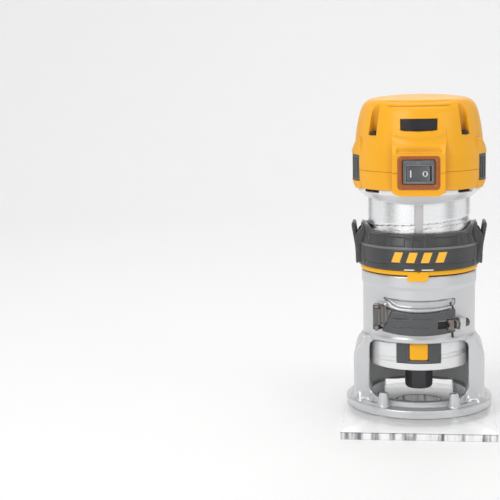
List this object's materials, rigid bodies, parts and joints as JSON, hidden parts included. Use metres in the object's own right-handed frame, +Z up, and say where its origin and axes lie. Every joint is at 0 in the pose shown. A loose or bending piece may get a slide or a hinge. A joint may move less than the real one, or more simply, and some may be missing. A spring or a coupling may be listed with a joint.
{
  "type": "trim router",
  "caption": "Compact trim router: a motor in a clamped fixed base with a depth adjusting ring, quick-release tabs, spindle lock, rocker switch and a clear D-shaped sub-base.",
  "frame": {"origin": "spindle axis at the underside of the sub-base, where the machine rests on the work", "axes": "+Z up along the spindle towards the cap, -Y towards the switch and the straight front edge of the sub-base, +X to the right of someone facing the switch"},
  "size_m": [0.1, 0.131, 0.217],
  "materials": {
    "cast_aluminium": "die-cast, fine satin texture",
    "machined_aluminium": "turned and polished",
    "steel": "bright zinc plated or ground",
    "bronzed_steel": "dark bronze plated",
    "blackened_steel": "black oxide",
    "lamination_steel": "lacquered laminations",
    "copper": "enamelled winding wire",
    "brass": "bare",
    "carbon": "pressed carbon",
    "clear_plastic": "clear polycarbonate, polished",
    "dark_grey_plastic": "moulded, fine grain",
    "black_plastic": "moulded, fine grain",
    "yellow_plastic": "moulded, semi-gloss",
    "yellow_print": "printed",
    "amber_plastic": "moulded seal",
    "switch_grey": "moulded",
    "rating_plate": "blank printed label",
    "circuit_board": "solder resist",
    "lamp_lens": "diffusing lens"
  },
  "bodies": {
    "base": {"base_casting": "cast_aluminium", "guide_key": "steel", "sub_base": "clear_plastic", "sub_base_screws": "steel", "clamp_bracket": "bronzed_steel", "clamp_pin": "steel", "clamp_screw": "bronzed_steel", "clamp_barrel": "bronzed_steel"},
    "clamp_lever": {"clamp_lever": "dark_grey_plastic"},
    "index_ring": {"index_ring": "yellow_plastic"},
    "adjusting_ring": {"adjusting_ring": "black_plastic", "ring_marks": "yellow_print", "tab_pins": "steel", "tab_springs": "steel"},
    "release_tab_left": {"release_tab_left": "black_plastic"},
    "release_tab_right": {"release_tab_right": "black_plastic"},
    "motor": {"motor_housing": "machined_aluminium", "nose_plate": "black_plastic", "led_lights": "lamp_lens", "led_boards": "circuit_board", "lock_frame": "black_plastic", "lock_spring": "steel", "lower_bearing_outer": "steel", "lower_bearing_balls": "steel", "upper_bearing_outer": "steel", "upper_bearing_balls": "steel", "stator_core": "lamination_steel", "field_coils": "copper", "bearing_bridge": "black_plastic", "brush_holders": "brass", "carbon_brushes": "carbon", "brush_springs": "steel", "lower_cover": "yellow_plastic", "top_cover": "yellow_plastic", "cover_screws": "steel", "rating_plate": "rating_plate", "vent_grille_left": "black_plastic", "vent_grille_right": "black_plastic", "switch_bezel": "amber_plastic", "switch_body": "switch_grey", "control_board": "circuit_board", "cord_inlet": "black_plastic"},
    "lock_button": {"lock_button": "yellow_plastic", "lock_pin": "steel"},
    "rotor": {"spindle": "steel", "cooling_fan": "black_plastic", "armature_core": "lamination_steel", "armature_windings": "copper", "commutator": "copper", "lower_bearing_inner": "steel", "upper_bearing_inner": "steel", "collet": "steel"},
    "collet_nut": {"collet_nut": "blackened_steel"},
    "switch_rocker": {"switch_rocker": "switch_grey"},
    "speed_dial": {"speed_dial": "black_plastic"}
  },
  "joints": [
    {"name": "depth_slide", "type": "slide", "parent": "base", "child": "motor", "axis": [0, 0, 1], "range_m": [-0.015, 0.022]},
    {"name": "ring_turn", "type": "hinge", "parent": "base", "child": "adjusting_ring", "pos_m": [0, 0, 0.11], "axis": [0, 0, 1], "range_deg": [-430, 630]},
    {"name": "tab_left_squeeze", "type": "hinge", "parent": "adjusting_ring", "child": "release_tab_left", "pos_m": [-0.0406, 0, 0.113], "axis": [0, 1, 0], "range_deg": [0, 8], "stiffness_Nm_per_rad": 0.35, "springref_deg": -8.59, "deforming": ["tab_springs"]},
    {"name": "tab_right_squeeze", "type": "hinge", "parent": "adjusting_ring", "child": "release_tab_right", "pos_m": [0.0406, 0, 0.113], "axis": [0, -1, 0], "range_deg": [0, 8], "stiffness_Nm_per_rad": 0.35, "springref_deg": -8.59},
    {"name": "index_turn", "type": "hinge", "parent": "base", "child": "index_ring", "pos_m": [0, 0, 0.101], "axis": [0, 0, 1], "continuous": true},
    {"name": "clamp_open", "type": "hinge", "parent": "base", "child": "clamp_lever", "pos_m": [-0.0279, -0.0322, 0.07], "axis": [0, 0, -1], "range_deg": [0, 95]},
    {"name": "spindle_spin", "type": "hinge", "parent": "motor", "child": "rotor", "pos_m": [0, 0, 0.1], "axis": [0, 0, -1], "continuous": true},
    {"name": "collet_nut_turn", "type": "hinge", "parent": "rotor", "child": "collet_nut", "pos_m": [0, 0, 0.026], "axis": [0, 0, 1], "range_deg": [0, 90]},
    {"name": "spindle_lock", "type": "slide", "parent": "motor", "child": "lock_button", "axis": [0, 1, 0], "range_m": [0, 0.003], "stiffness_N_per_m": 400, "springref_m": -0.002, "deforming": ["lock_spring"]},
    {"name": "switch_rock", "type": "hinge", "parent": "motor", "child": "switch_rocker", "pos_m": [0, -0.041, 0.1674], "axis": [0, 0, 1], "range_deg": [0, 14]},
    {"name": "speed_turn", "type": "hinge", "parent": "motor", "child": "speed_dial", "pos_m": [0, 0.041, 0.199], "axis": [0, 1, 0], "range_deg": [0, 270]}
  ],
  "couplings": [
    {"joint": "ring_turn", "follows": "depth_slide", "rad_per_m": 494.74}
  ]
}
